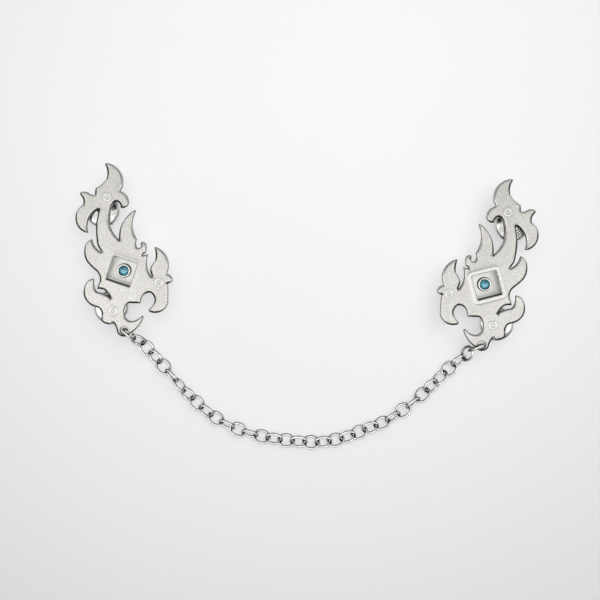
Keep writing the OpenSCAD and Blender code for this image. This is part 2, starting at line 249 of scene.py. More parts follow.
def outline_points(longest=0.7, inset=0.016):
    """The outline, anticlockwise and just inside the source's, with points at most longest apart."""
    rows = [row for part in OUTLINE.values() for row in part]
    rough = []
    for row, after in zip(rows, rows[1:] + rows[:1]):
        rough += arc_points(row[:2], after[:2], row[2])
    points = []
    for p, q in zip(rough, rough[1:] + rough[:1]):
        steps = max(1, math.ceil(np.linalg.norm(q - p) / longest))
        points += [p + (q - p) * i / steps for i in range(steps)]
    return grown(np.array(points[::-1]), -inset)


def circle_points(centre, r, n):
    """A circle of n points, anticlockwise."""
    a = np.arange(n) * 2 * math.pi / n
    return np.array(centre) + r * np.column_stack([np.cos(a), np.sin(a)])


def square_points(centre, w, r, longest=0.6, per_corner=5):
    """A square with rounded corners, anticlockwise."""
    points = []
    for k in range(4):
        turn = math.pi / 2 * k
        c, s = math.cos(turn), math.sin(turn)
        corner = [(w / 2 - r + r * math.cos(a), w / 2 - r + r * math.sin(a))
                  for a in np.linspace(0, math.pi / 2, per_corner)]
        steps = max(1, math.ceil((w - 2 * r) / longest))
        side = [(w / 2 - r - (w - 2 * r) * i / steps, w / 2) for i in range(1, steps)]
        points += [(x * c - y * s, x * s + y * c) for x, y in corner + side]
    return np.array(centre) + np.array(points)


def edge_distance(points, loop, at_once=500):
    """Distance of each point to the closed loop, for some points at once to keep the arrays small."""
    a, b = loop, np.roll(loop, -1, axis=0)
    ab = b - a
    best = np.empty(len(points))
    for start in range(0, len(points), at_once):
        part = points[start:start + at_once]
        ap = part[:, None, :] - a[None]
        t = np.clip((ap * ab).sum(2) / (ab * ab).sum(1), 0, 1)
        best[start:start + at_once] = np.linalg.norm(ap - ab * t[..., None], axis=2).min(axis=1)
    return best


def towards_foot(points, loop):
    """How far the nearest edge of the loop faces the foot end and the outer side, from 0 to 1."""
    middle, way = edge_ways(loop)
    near = [int(np.argmin(((middle - p) ** 2).sum(axis=1))) for p in points]
    return smooth((0.15 + way[near] @ FOOT_WAY) / 0.85)


def inside(points, loop):
    """Whether each point lies inside the closed loop."""
    a, b = loop, np.roll(loop, -1, axis=0)
    x, y = points[:, 0][:, None], points[:, 1][:, None]
    crosses = (a[:, 1] > y) != (b[:, 1] > y)
    rise = np.where(np.abs(b[:, 1] - a[:, 1]) < 1e-12, 1e-12, b[:, 1] - a[:, 1])
    hit = crosses & (x < (b[:, 0] - a[:, 0]) * (y - a[:, 1]) / rise + a[:, 0])
    return hit.sum(axis=1) % 2 == 1


def between(points, loop, holes, gap):
    """The points inside the loop and outside the holes, further than the gap from each hole."""
    keep = inside(points, loop)
    for hole in holes:
        keep &= ~inside(points, hole) & (edge_distance(points, hole) > gap)
    return points[keep]


def side_rings(loop, steps, way):
    """Points at each step outside the loop (1) or inside it (-1), less those near another edge."""
    middle, facing = edge_ways(loop)
    corner = facing + np.roll(facing, 1, axis=0)
    corner /= np.maximum(np.linalg.norm(corner, axis=1), 0.3)[:, None]
    kept = []
    for step in steps:
        for base, out in ((loop, corner), (middle, facing)):
            points = base + out * step * way
            kept.append(points[edge_distance(points, loop) > step * 0.93])
    return np.vstack(kept)


def fill(loops, extra, sliver=2e-5):
    """Triangles between the loops (the first is the outer one), through the extra points."""
    points, edges = [], []
    for loop in loops:
        n, k = len(points), len(loop)
        points += list(loop)
        edges += [(n + i, n + (i + 1) % k) for i in range(k)]
    points += list(extra)
    verts, _, faces, *_ = delaunay_2d_cdt([Vector(p) for p in points], edges, [], 0, 1e-5)
    flat = np.array([(v.x, v.y) for v in verts])
    tri = np.array([f for f in faces if len(f) == 3])
    centre = flat[tri].mean(axis=1)
    keep = inside(centre, loops[0])
    for hole in loops[1:]:
        keep &= ~inside(centre, hole)
    a, b, c = flat[tri[:, 0]], flat[tri[:, 1]], flat[tri[:, 2]]
    area = (b[:, 0] - a[:, 0]) * (c[:, 1] - a[:, 1]) - (b[:, 1] - a[:, 1]) * (c[:, 0] - a[:, 0])
    tri[area < 0] = tri[area < 0][:, ::-1]
    return flat, tri[keep & (np.abs(area) > sliver)]


def rounded_drop(d, r):
    """How far a rounded edge of radius r lies under the face at distance d from the rim."""
    d = np.clip(d, 0, r)
    return r - np.sqrt(np.maximum(r * r - (r - d) ** 2, 0))


def level(loop, z):
    """A flat loop, or an array of flat points, at one height or at a height for each point."""
    return np.column_stack([loop, np.broadcast_to(z, len(loop))])


def turned(x, y, degrees):
    """Coordinates x and y turned anticlockwise about the origin."""
    c, s = math.cos(math.radians(degrees)), math.sin(math.radians(degrees))
    return x * c - y * s, x * s + y * c


# Meshes
class Shape:
    """Vertices, faces, face materials and marks gathered for one object, in millimetres."""

    def __init__(self, *marks):
        self.verts, self.faces, self.mats = [], [], []
        self.marks = {name: [] for name in marks}

    def add(self, verts, faces, mat=0, **marks):
        """Adds faces of one material, or of a list with one for each face; unnamed marks are 0."""
        n = len(self.verts)
        self.verts += [tuple(map(float, v)) for v in verts]
        self.faces += [tuple(int(i) + n for i in f) for f in faces]
        self.mats += list(mat) if isinstance(mat, list) else [mat] * len(faces)
        for name, values in self.marks.items():
            values += [float(v) for v in np.broadcast_to(marks.get(name, 0.0), len(verts))]

    def strip(self, loops, mat=0, closed=False, flip=False, **marks):
        """Quads between closed loops of equal length; a mark is a number, one a loop or one a point."""
        n, k = len(loops), len(loops[0])
        faces = []
        for j in range(n if closed else n - 1):
            for i in range(k):
                a, b = j * k + i, j * k + (i + 1) % k
                c, d = ((j + 1) % n) * k + (i + 1) % k, ((j + 1) % n) * k + i
                faces.append((a, d, c, b) if flip else (a, b, c, d))
        spread_out = {name: np.repeat(v, k) if np.size(v) == n else v for name, v in marks.items()}
        self.add([p for loop in loops for p in loop], faces, mat, **spread_out)

    def lathe(self, profile, centre, steps, mat=0, **marks):
        """A profile of (radius, height) turned about a line through centre."""
        loops = [[(centre[0] + r * math.cos(a), centre[1] + r * math.sin(a), z)
                  for a in np.arange(steps) * 2 * math.pi / steps] for r, z in profile]
        self.strip(loops, mat, **marks)

    def build(self, name, materials, side=None):
        """Makes the object, and puts it where the plate of a side lies if one is given."""
        verts, faces = np.array(self.verts), self.faces
        if side:
            verts, faces = placed(verts, faces, side)
        mesh = bpy.data.meshes.new(name)
        mesh.from_pydata([tuple(v * MM) for v in verts], [], faces)
        for m in materials:
            mesh.materials.append(m)
        mesh.polygons.foreach_set("material_index", self.mats)
        for mark, values in self.marks.items():
            mesh.attributes.new(mark, "FLOAT", "POINT").data.foreach_set("value", values)
        mesh.shade_smooth()
        obj = linked(mesh)
        soften(mesh)
        return obj


def linked(mesh):
    """An object of the same name for the mesh, in the scene."""
    obj = bpy.data.objects.new(mesh.name, mesh)
    bpy.context.scene.collection.objects.link(obj)
    return obj


def soften(mesh, sharp=38):
    """Joins the points that meet, and marks the edges that are sharper than the angle in degrees."""
    bm = bmesh.new()
    bm.from_mesh(mesh)
    bmesh.ops.remove_doubles(bm, verts=bm.verts, dist=0.002 * MM)
    for e in bm.edges:
        e.smooth = not (len(e.link_faces) == 2 and e.calc_face_angle(0) > math.radians(sharp))
    bm.to_mesh(mesh)
    bm.free()
    mesh.update()


def placed(verts, faces, side):
    """From a left plate's own frame to where the plate of that side lies, mirrored on the right."""
    spec = SIDES[side]
    x, y = turned(verts[:, 0] * spec["flip"], verts[:, 1], spec["turn"])
    if spec["flip"] < 0:
        faces = [f[::-1] for f in faces]
    return np.column_stack([spec["at"][0] + x, spec["at"][1] + y, verts[:, 2]]), faces


# Materials
class Nodes:
    """A new material with its nodes and a few short ways to make more."""

    def __init__(self, name):
        self.mat = bpy.data.materials.new(name)
        self.mat.use_nodes = True
        self.nodes, self.links = self.mat.node_tree.nodes, self.mat.node_tree.links
        self.shader = self.nodes["Principled BSDF"]
        self.where = self.nodes.new("ShaderNodeTexCoord").outputs["Object"]

    def set(self, **values):
        """Sets constants on the shader's own sockets."""
        for name, value in values.items():
            self.shader.inputs[name.replace("_", " ")].default_value = value

    def use(self, **sockets):
        """Links other nodes' outputs to the shader's sockets."""
        for name, socket in sockets.items():
            self.links.new(socket, self.shader.inputs[name.replace("_", " ")])

    def noise(self, scale, detail=2.0, rough=0.5):
        """Smooth noise from 0 to 1 over the object, with this many waves to a metre."""
        n = self.nodes.new("ShaderNodeTexNoise")
        n.inputs["Scale"].default_value = scale
        n.inputs["Detail"].default_value = detail
        n.inputs["Roughness"].default_value = rough
        self.links.new(self.where, n.inputs["Vector"])
        return n.outputs["Fac"]

    def mark(self, name):
        """A mark that the mesh carries for each point or face."""
        n = self.nodes.new("ShaderNodeAttribute")
        n.attribute_name = name
        return n.outputs["Fac"]

    def math(self, operation, *values):
        """The result of an operation on values, each one a constant or a node's output."""
        n = self.nodes.new("ShaderNodeMath")
        n.operation = operation
        for socket, value in zip(n.inputs, values):
            if isinstance(value, (int, float)):
                socket.default_value = value
            else:
                self.links.new(value, socket)
        return n.outputs[0]

    def spread(self, value, low, high, from_low=0.0, from_high=1.0, kind="LINEAR"):
        """The value's range from from_low to from_high spread over low to high."""
        n = self.nodes.new("ShaderNodeMapRange")
        n.interpolation_type = kind
        n.inputs["From Min"].default_value = from_low
        n.inputs["From Max"].default_value = from_high
        n.inputs["To Min"].default_value = low
        n.inputs["To Max"].default_value = high
        self.links.new(value, n.inputs["Value"])
        return n.outputs["Result"]

    def mix(self, share, a, b):
        """From colour a to colour b, each one a constant or a node's output."""
        n = self.nodes.new("ShaderNodeMix")
        n.data_type = "RGBA"
        self.links.new(share, n.inputs["Factor"])
        for socket, value in ((n.inputs[6], a), (n.inputs[7], b)):
            if isinstance(value, tuple):
                socket.default_value = (*value, 1)
            else:
                self.links.new(value, socket)
        return n.outputs[2]

    def ramp(self, value, stops):
        """The colour at the value between stops of (place, colour)."""
        n = self.nodes.new("ShaderNodeValToRGB")
        while len(n.color_ramp.elements) < len(stops):
            n.color_ramp.elements.new(0.5)
        for element, (at, colour) in zip(n.color_ramp.elements, stops):
            element.position = at
            element.color = (*colour, 1)
        self.links.new(value, n.inputs["Fac"])
        return n.outputs["Color"]

    def bump(self, *layers):
        """Layers of (height, strength, distance in metres), each on top of the last."""
        below = None
        for height, strength, distance in layers:
            n = self.nodes.new("ShaderNodeBump")
            n.inputs["Strength"].default_value = strength
            n.inputs["Distance"].default_value = distance
            self.links.new(height, n.inputs["Height"])
            if below:
                self.links.new(below, n.inputs["Normal"])
            below = n.outputs["Normal"]
        self.use(Normal=below)


# Colours of painted shade: near-black, and a softer dark
SHADE_COLOUR = (0.022, 0.020, 0.017)
SOFT_SHADE_COLOUR = (0.05, 0.047, 0.042)


def satin_metal(name, low, high, polished, metallic):
    """Bead-blasted silver tone: near-black painted shade, made patchy by noise, where its shade mark is
    high, and lighter where its polish mark is high, which is partly polish and partly painted
    highlight.
    """
    m = Nodes(name)
    grain = m.noise(2700, 2, 0.7)
    cloud = m.noise(130, 3, 0.5)
    tone_share = m.math("MULTIPLY_ADD", cloud, 0.15, m.math("MULTIPLY", grain, 0.85))
    colour = m.mix(m.spread(tone_share, 0, 1, 0.34, 0.66), low, high)
    colour = m.mix(m.mark("polish"), colour, polished)
    shade_patchiness = m.spread(m.noise(900, 3, 0.6), 0.85, 1.15, 0.3, 0.6)
    patchy_shade = m.math("MINIMUM", m.math("MULTIPLY", m.mark("rim"), shade_patchiness), 1.0)
    rough = m.math("MULTIPLY_ADD", m.mark("polish"), -0.06, m.spread(grain, 0.30, 0.42))
    rough = m.math("MULTIPLY_ADD", m.mark("edge"), -0.2, rough)
    m.use(Base_Color=m.mix(patchy_shade, colour, SHADE_COLOUR), Roughness=rough)
    m.set(Metallic=metallic)
    m.bump((grain, 0.5, 0.0001), (m.noise(6500, 2, 0.5), 0.3, 0.00003))
    return m.mat


def polished_metal(name, colour, dull, rough, dark=SOFT_SHADE_COLOUR):
    """Bright plated metal with faint wear, fine rub marks, and painted shade where its shade mark is
    high.
    """
    m = Nodes(name)
    wear = m.noise(800, 4, 0.6)
    tone = m.mix(m.spread(wear, 0, 1, 0.35, 0.6), dull, colour)
    tone = m.mix(m.mark("rim"), tone, dark)
    m.use(Base_Color=tone, Roughness=m.spread(wear, rough * 0.7, rough * 1.5))
    m.set(Metallic=1.0)
    m.bump((m.noise(2600), 0.12, 0.00002))
    return m.mat


def clutch_metal():
    """Bright nickel, with near-black painted shade in the pressed rungs' grooves, under the rim and in
    the bore, and painted highlights on the ridges between the grooves.
    """
    m = Nodes("bright_clutch")
    wear = m.noise(420, 3, 0.6)
    tone = m.mix(m.spread(wear, 0, 1, 0.4, 0.6), (0.38, 0.38, 0.37), (0.60, 0.60, 0.59))
    tone = m.mix(m.mark("ridge_highlight"), tone, (0.92, 0.92, 0.91))
    tone = m.mix(m.mark("groove_and_shade"), tone, (0.012, 0.012, 0.012))
    tone = m.mix(m.mark("rim"), tone, (0.03, 0.028, 0.026))
    m.use(Base_Color=tone, Roughness=m.spread(wear, 0.05, 0.14))
    m.set(Metallic=1.0)
    m.bump((m.noise(300), 0.25, 0.0002))
    return m.mat


def stone_glass():
    """Clear blue stone, which also glows faintly in its own colour as painted light: each facet takes
    its painted tone of light and shade from the facet mark.
    """
    m = Nodes("blue_stone")
    tone = m.math("MULTIPLY_ADD", m.noise(1500), 0.4, m.mark("facet"))
    colour = m.ramp(m.math("SUBTRACT", tone, 0.2), [
        (0.0, (0.004, 0.05, 0.06)), (0.3, (0.02, 0.20, 0.25)),
        (0.6, (0.07, 0.42, 0.54)), (1.0, (0.32, 0.74, 0.86))])
    m.use(Base_Color=colour, Emission_Color=colour, Roughness=m.spread(m.noise(2600), 0.03, 0.08))
    m.set(Emission_Strength=0.22, IOR=1.6, Transmission_Weight=0.15)
    m.set(Coat_Weight=0.3, Coat_Roughness=0.02)
    return m.mat


def painted_wall_shade():
    """Near-black painted shade on the well's lower wall."""
    m = Nodes("painted_wall_shade")
    stops = [(0.35, (0.005, 0.005, 0.004)), (0.7, (0.02, 0.018, 0.016))]
    m.use(Base_Color=m.ramp(m.noise(900, 3, 0.6), stops))
    m.set(Metallic=1.0, Roughness=0.5)
    m.bump((m.noise(2400), 0.2, 0.00003))
    return m.mat


SATIN = satin_metal("satin_plate", low=(0.41, 0.402, 0.383), high=(0.66, 0.649, 0.622),
                    polished=(0.80, 0.795, 0.77), metallic=1.0)
# The well is the plate's own metal, painted much lighter and less metallic so that its hollow looks lit
WELL_LIGHTENED = satin_metal("well_satin_lightened", low=(0.82, 0.81, 0.78), high=(0.96, 0.95, 0.925),
                   polished=(0.95, 0.95, 0.93), metallic=0.42)
BRIGHT = polished_metal("bright_post", (0.86, 0.86, 0.85), (0.72, 0.72, 0.71), 0.10)
WIRE = polished_metal("chain_wire", (0.90, 0.89, 0.86), (0.68, 0.665, 0.635), 0.12, SHADE_COLOUR)
BEZEL = polished_metal("bezel", (0.90, 0.89, 0.87), (0.76, 0.75, 0.73), 0.16)
CLUTCH = clutch_metal()
WALL_SHADE = painted_wall_shade()
STONE = stone_glass()

# A plate's materials, and the number of each on its faces
PLATE_MATERIALS = [SATIN, WELL_LIGHTENED, BRIGHT, BEZEL, WALL_SHADE]
IN_SATIN, IN_WELL_LIGHTENED, IN_BRIGHT, IN_BEZEL, IN_WALL_SHADE = range(5)


# Plates
def face_points(loop, window, eye, band, spec):
    """Points of a plate's face: close together at its edges, band and rings, and a grid elsewhere."""
    band_w = BAND_W + spec["band_more"]
    points = [side_rings(loop, RIM_STEPS, -1), side_rings(window, WINDOW_STEPS, 1),
              side_rings(eye, EYE_STEPS, 1)]
    points += [square_points(spec["window"], WINDOW_W + 2 * band_w + 2 * out, band_w + out)
               for out in BAND_STEPS]
    points += [circle_points(ring, RING_D / 2 + out, 40)
               for ring in spec["rings"] for out in RING_STEPS]
    xs, ys = np.meshgrid(np.arange(*GRID_X, GRID_STEP), np.arange(*GRID_Y, GRID_STEP))
    grid = np.column_stack([xs.ravel(), ys.ravel()])
    odd_row = (np.arange(len(grid)) // xs.shape[1]) % 2 == 1
    grid[odd_row, 0] += GRID_STEP / 2
    far = (edge_distance(grid, loop) > CLEAR_OF_RIM) & (edge_distance(grid, band) > CLEAR_OF_BAND)
    for ring in spec["rings"]:
        off = np.linalg.norm(grid - np.array(ring), axis=1) - RING_D / 2 + RING_W / 2
        far &= np.abs(off) > CLEAR_OF_RING
    points = between(np.vstack(points + [grid[far]]), loop, (window, eye), FACE_GAP)
    return points[edge_distance(points, loop) > FACE_GAP]


def plate_face(shape, loop, window, eye, spec):
    """The plate's face: rounded rims, raised band and rings, as one height over the plan."""
    band_w = BAND_W + spec["band_more"]
    band = square_points(spec["window"], WINDOW_W + 2 * band_w, band_w)
    flat, tri = fill([loop, window, eye], face_points(loop, window, eye, band, spec))
    to_rim, to_eye, to_window = (edge_distance(flat, edge) for edge in (loop, eye, window))
    in_band = np.where(inside(flat, band), -1, 1) * edge_distance(flat, band)
    raised = smooth((BAND_FOOT - in_band) / BAND_SHOULDER)
    z = PLATE_TOP + spec["band_h"] * raised
    polish = raised * spec["band_polish_and_sheen"]
    # The rings' tops are lighter, and a faint line of painted shade follows their feet
    ring_foot_shade = np.zeros(len(flat))
    for ring in spec["rings"]:
        off = np.abs(np.linalg.norm(flat - np.array(ring), axis=1) - (RING_D - RING_W) / 2)
        swell = smooth((RING_W / 2 + RING_FOOT - off) / RING_SHOULDER)
        z += RING_SWELL * swell
        polish = np.maximum(polish, 0.7 * swell)
        ring_foot_shade = np.maximum(ring_foot_shade, 0.26 * smooth(1 - np.abs(off - RING_W / 2 - 0.06) / 0.16))
    z -= rounded_drop(to_rim, TOP_ROUND)
    z -= rounded_drop(to_eye, EYE_ROUND)
    z -= rounded_drop(to_window, WINDOW_ROUND)
    # Painted shade lies along the rims, in a wider, darker line on those that face the foot end, and in
    # lines round the eye and the window
    low = np.zeros(len(flat))
    near_rim = to_rim < 1.0
    low[near_rim] = towards_foot(flat[near_rim], loop)
    dark = (RIM_DARK + (1 - RIM_DARK) * low) * fading(to_rim, RIM_LINE + FOOT_LINE * low, 0.22)
    dark = np.maximum(dark, 0.35 * fading(to_eye, 0.08, 0.3))
    dark = np.maximum(dark, 0.85 * fading(to_window, 0.06, 0.2))
    dark = np.maximum(dark, ring_foot_shade)
    shape.add(level(flat, z), tri, IN_SATIN, rim=dark, polish=polish, edge=fading(to_rim, 0.4, 0.3))


def plate_side_and_back(shape, loop, well, eye):
    """The plate's side, its back with a rounded edge, and the eye's wall."""
    # The side takes painted shade, darker on the edges that face the foot end; the back's edge and the
    # eye's wall take some painted shade too
    low = towards_foot(loop, loop)
    heights = (PLATE_TOP - TOP_ROUND, PLATE_LOW + LOW_ROUND)
    shape.strip([level(loop, z) for z in heights], IN_SATIN, flip=True, edge=1.0,
                rim=np.concatenate([0.12 + 0.8 * low, 0.06 + 0.6 * low]))
    back = between(side_rings(loop, BACK_STEPS, -1), loop, (well, eye), BACK_GAP)
    flat, tri = fill([loop, well, eye], back)
    to_rim = edge_distance(flat, loop)
    shape.add(level(flat, PLATE_LOW + rounded_drop(to_rim, LOW_ROUND)), tri[:, ::-1], IN_SATIN,
              rim=0.5 * fading(to_rim, 0.06, 0.4))
    shape.strip([level(eye, PLATE_TOP - EYE_ROUND), level(eye, PLATE_LOW)], IN_SATIN, rim=0.3)


def well_inside(shape, window, spec):
    """The well's walls and floor: the upper rows of the lower wall take a near-black painted shade, and
    the rest is satin painted lighter than the plate, with painted shade at the lip and round the
    bezel's foot.
    """
    at = np.array(spec["window"])
    floor = grown(window, -FLOOR_ROUND)
    lip = PLATE_TOP + spec["band_h"] - WINDOW_ROUND
    heights = (lip, lip - 0.25, lip - 0.6, FLOOR_TOP + 0.9, FLOOR_TOP + FLOOR_ROUND)
    loops = [level(window, z) for z in heights] + [level(floor, FLOOR_TOP)]
    middle, _ = edge_ways(window)
    lower_wall = middle[:, 1] - at[1] < -WINDOW_W / 2 + 0.12
    mats = [IN_WALL_SHADE if low and row < SHADED_ROWS else IN_WELL_LIGHTENED
            for row in range(len(heights)) for low in lower_wall]
    shape.strip(loops, mats, rim=(0.8, 0.05, 0, 0, 0, 0))
    bezel_foot = circle_points(at, BEZEL_R, 64)
    rounds = [circle_points(at, BEZEL_R + out, 64) for out in (0.12, 0.25, 0.45)]
    rounds += [grown(window, -out) for out in (0.3, 0.55)]
    flat, tri = fill([floor, bezel_foot], np.vstack(rounds))
    to_bezel = np.linalg.norm(flat - at, axis=1) - BEZEL_R
    shape.add(level(flat, FLOOR_TOP), tri, IN_WELL_LIGHTENED, rim=0.9 * fading(to_bezel, 0.08, 0.3))


def bezel(shape, at):
    """The round bezel, with the stone's seat in it and the opening through the well's floor."""
    seat_z = GIRDLE_Z - SEAT_DROP
    # Each row is a radius, a height and how dark the painted shade is there
    rows = [
        (BEZEL_R, FLOOR_TOP, 0.9),
        (BEZEL_R - 0.01, BEZEL_TOP - 0.2, 0.6),
        (BEZEL_R - 0.06, BEZEL_TOP - 0.06, 0.2),
        (BEZEL_R - 0.15, BEZEL_TOP, 0),
        (SEAT_R + 0.12, BEZEL_TOP, 0),
        (SEAT_R + 0.03, BEZEL_TOP - 0.04, 0.3),
        (SEAT_R, BEZEL_TOP - 0.12, 0.8),
        (SEAT_R, seat_z, 1),
        (LEDGE_R, seat_z, 1),
        (LEDGE_R, WELL_LOW, 0.5),
    ]
    shape.lathe([row[:2] for row in rows], at, 64, IN_BEZEL, rim=[row[2] for row in rows])


def well_outside(shape, well, at):
    """The well's walls and its underside as they show under the plate."""
    # The outer walls take painted shade, darkest where they meet the plate's back
    base = grown(well, -0.2)
    outer = [level(well, PLATE_LOW), level(well, WELL_LOW + 0.2),
             level(grown(well, -0.06), WELL_LOW + 0.06), level(base, WELL_LOW)]
    shape.strip(outer, IN_SATIN, flip=True, rim=(0.8, 0.2, 0.1, 0))
    flat, tri = fill([base, circle_points(at, LEDGE_R, 64)], np.zeros((0, 2)))
    shape.add(level(flat, WELL_LOW), tri[:, ::-1], IN_SATIN)


def post(shape, at):
    """A post with a solder fillet and a blunt point."""
    profile = [(0, POST_LOW), (POST_R / 2, POST_LOW + 0.02), (POST_R, POST_LOW + 0.5),
               (POST_R, PLATE_LOW - 0.12), (POST_R + 0.05, PLATE_LOW - 0.03),
               (POST_R + 0.12, PLATE_LOW)]
    shape.lathe(profile, at, 32, IN_BRIGHT)


def plate(side):
    """A flame plate with its well, bezel and posts."""
    spec = SIDES[side]
    at = spec["window"]
    loop = outline_points()
    window = square_points(at, WINDOW_W, WINDOW_CORNER)
    well = square_points(at, WELL_W, WELL_CORNER)
    eye = circle_points(EYE_AT, EYE_R, 40)
    shape = Shape("rim", "polish", "edge")
    plate_face(shape, loop, window, eye, spec)
    plate_side_and_back(shape, loop, well, eye)
    well_inside(shape, window, spec)
    bezel(shape, at)
    well_outside(shape, well, at)
    for post_at, _ in spec["clutches"].values():
        post(shape, post_at)
    obj = shape.build(side + "_plate_shape", PLATE_MATERIALS, side)
    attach(obj, "jewel")
    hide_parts(side + "_plate")


# Stones: a painted tone of light and shade for each facet, in turn round the stone
TABLE_PAINTED_TONES = (0.70, 0.30, 0.22, 0.75, 0.85, 0.95, 0.90, 0.80)
STAR_PAINTED_TONES = (0.60, 0.45, 0.15, 0.60, 0.75, 0.65, 0.85, 0.70)
KITE_PAINTED_TONES = (0.45, 0.30, 0.15, 0.35, 0.50, 0.40, 0.55, 0.40)
UPPER_PAINTED_TONES = ((0.20, 0.05, 0.30), (0.10, 0.25))
GIRDLE_PAINTED_TONE = 0.1
PAVILION_PAINTED_TONE = 0.3


def stone(side):
    """Round brilliant: table, stars, kites, upper and lower facets, with a painted tone of light and
    shade for each facet.
    """
    spec = SIDES[side]
    centre = spec["window"]

    def ring(r, z, n, start=0):
        ways = [math.radians(start + 360 * k / n) for k in range(n)]
        return [(centre[0] + r * math.cos(a), centre[1] + r * math.sin(a), GIRDLE_Z + z) for a in ways]

    verts = (ring(STONE_R * TABLE_SHARE, CROWN_H, 8, 22.5)
             + ring(STONE_R * KITE_SHARE, CROWN_H * KITE_RISE, 8)
             + ring(STONE_R, HALF_GIRDLE, 16) + ring(STONE_R, -HALF_GIRDLE, 16)
             + [(*centre, GIRDLE_Z - PAVILION_H), (*centre, GIRDLE_Z + CROWN_H)])
    table, kites, upper, lower = range(8), range(8, 16), range(16, 32), range(32, 48)
    point, middle = 48, 49
    faces, tones = [], []

    def facet(tone, *corners):
        faces.append(corners)
        tones.append(tone)

    # A place below 0 counts from the end, so k - 7 in a ring of 8 is the next one after k
    for k in range(8):
        facet(TABLE_PAINTED_TONES[k], table[k], table[k - 7], middle)
    for k in range(8):
        facet(STAR_PAINTED_TONES[k], table[k], kites[k - 7], table[k - 7])
    for k in range(8):
        facet(KITE_PAINTED_TONES[k], table[k], kites[k], upper[2 * k + 1], kites[k - 7])
    for k in range(8):
        facet(UPPER_PAINTED_TONES[0][k % 3], kites[k], upper[2 * k], upper[2 * k + 1])
        facet(UPPER_PAINTED_TONES[1][k % 2], kites[k], upper[2 * k - 1], upper[2 * k])
    for k in range(16):
        facet(GIRDLE_PAINTED_TONE, upper[k], lower[k], lower[k - 15], upper[k - 15])
    for k in range(16):
        facet(PAVILION_PAINTED_TONE, lower[k], point, lower[k - 15])
    verts, faces = placed(np.array(verts), faces, side)
    mesh = bpy.data.meshes.new(side + "_stone_cut")
    mesh.from_pydata([tuple(v * MM) for v in verts], [], faces)
    mesh.materials.append(STONE)
    mesh.attributes.new("facet", "FLOAT", "FACE").data.foreach_set("value", tones)
    obj = linked(mesh)
    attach(obj, "jewel")
    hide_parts(side + "_stone")


# Clutches
def dome(under, turns):
    """The pan's dome, moved down into the sheet by under, at turns in degrees from upright."""
    return [(PAN_FLAT_R + (DOME_R - under) * math.sin(a),
             CLUTCH_H - DOME_R + (DOME_R - under) * math.cos(a)) for a in np.radians(turns)]


def pan_edge(under, turns):
    """The pan's rolled edge, in the same way as the dome."""
    x, z = dome(EDGE_R, [DOME_TURN])[0]
    return [(x + (EDGE_R - under) * math.sin(a), z + (EDGE_R - under) * math.cos(a))
            for a in np.radians(turns)]


def clutch_profile():
    """Half of the section through bore, pan and cup, and how dark the painted shade is at each point.
    """
    cup_turn = math.degrees(math.asin((CUP_R - PAN_FLAT_R) / (DOME_R - PAN_T)))
    bore = [(0, BORE_LOW), (BORE_R, BORE_LOW), (BORE_R, CLUTCH_H - DIMPLE_H),
            (DIMPLE_R - 0.1, CLUTCH_H - 0.03), (DIMPLE_R, CLUTCH_H)]
    bright = dome(0, np.linspace(0, DOME_TURN, 27)) + pan_edge(0, range(DOME_TURN + 6, 85, 8))
    lip = pan_edge(0, [90]) + pan_edge(PAN_T, [90])
    under = pan_edge(PAN_T, range(82, DOME_TURN, -10))
    under += dome(PAN_T, np.linspace(DOME_TURN, cup_turn, 5))
    cup = [(CUP_R, CUP_LOW + CUP_ROUND)]
    cup += [(CUP_R - CUP_ROUND + CUP_ROUND * math.cos(a), CUP_LOW + CUP_ROUND - CUP_ROUND * math.sin(a))
            for a in np.radians([22, 45, 68, 90])]
    cup += [(0, CUP_LOW)]
    marks = [1, 1, 0.8, 0.5, 0.2] + [0] * len(bright) + [0.1, 0.5] + [0.3] * len(under + cup)
    return bore + bright + lip + under + cup, marks


def wear_pan(shape, turn):
    """Presses rungs into the pan's top towards -X, with painted shade in their grooves and painted
    highlights between them, and paints shade on the pan's edge on the side of the foot end.
    """
    verts = np.array(shape.verts)
    r = np.hypot(verts[:, 0], verts[:, 1])
    off = np.degrees(np.arctan2(verts[:, 1], -verts[:, 0]))
    on_top = (verts[:, 2] > CLUTCH_H - 0.6) & (r > PAN_FLAT_R) & (r < 4.9)
    held = smooth((RUNG_HALF_ARC - np.abs(off + RUNG_TURN)) / 4) * on_top
    held = held * smooth((RUNG_RANGE[1] - r) / 0.2) * smooth((r - RUNG_RANGE[0]) / 0.2)
    groove_and_shade = held * smooth((np.sin(r * 2 * math.pi / RUNG_STEP) + 0.6) / 0.7)
    verts[:, 2] -= RUNG_DEPTH * groove_and_shade
    way = np.radians(turn) + np.arctan2(verts[:, 1], verts[:, 0])
    under_edge = smooth((CLUTCH_H - 0.45 - verts[:, 2]) / 0.25) * smooth((r - 4.6) / 0.3)
    foot_side_shade = under_edge * smooth((-np.sin(way) - 0.35) / 0.4)
    shape.verts = [tuple(v) for v in verts]
    shape.marks["groove_and_shade"] = [float(g) for g in groove_and_shade]
    shape.marks["ridge_highlight"] = [float(g) for g in held - groove_and_shade]
    shape.marks["rim"] = [max(float(d), g) for d, g in zip(foot_side_shade, shape.marks["rim"])]


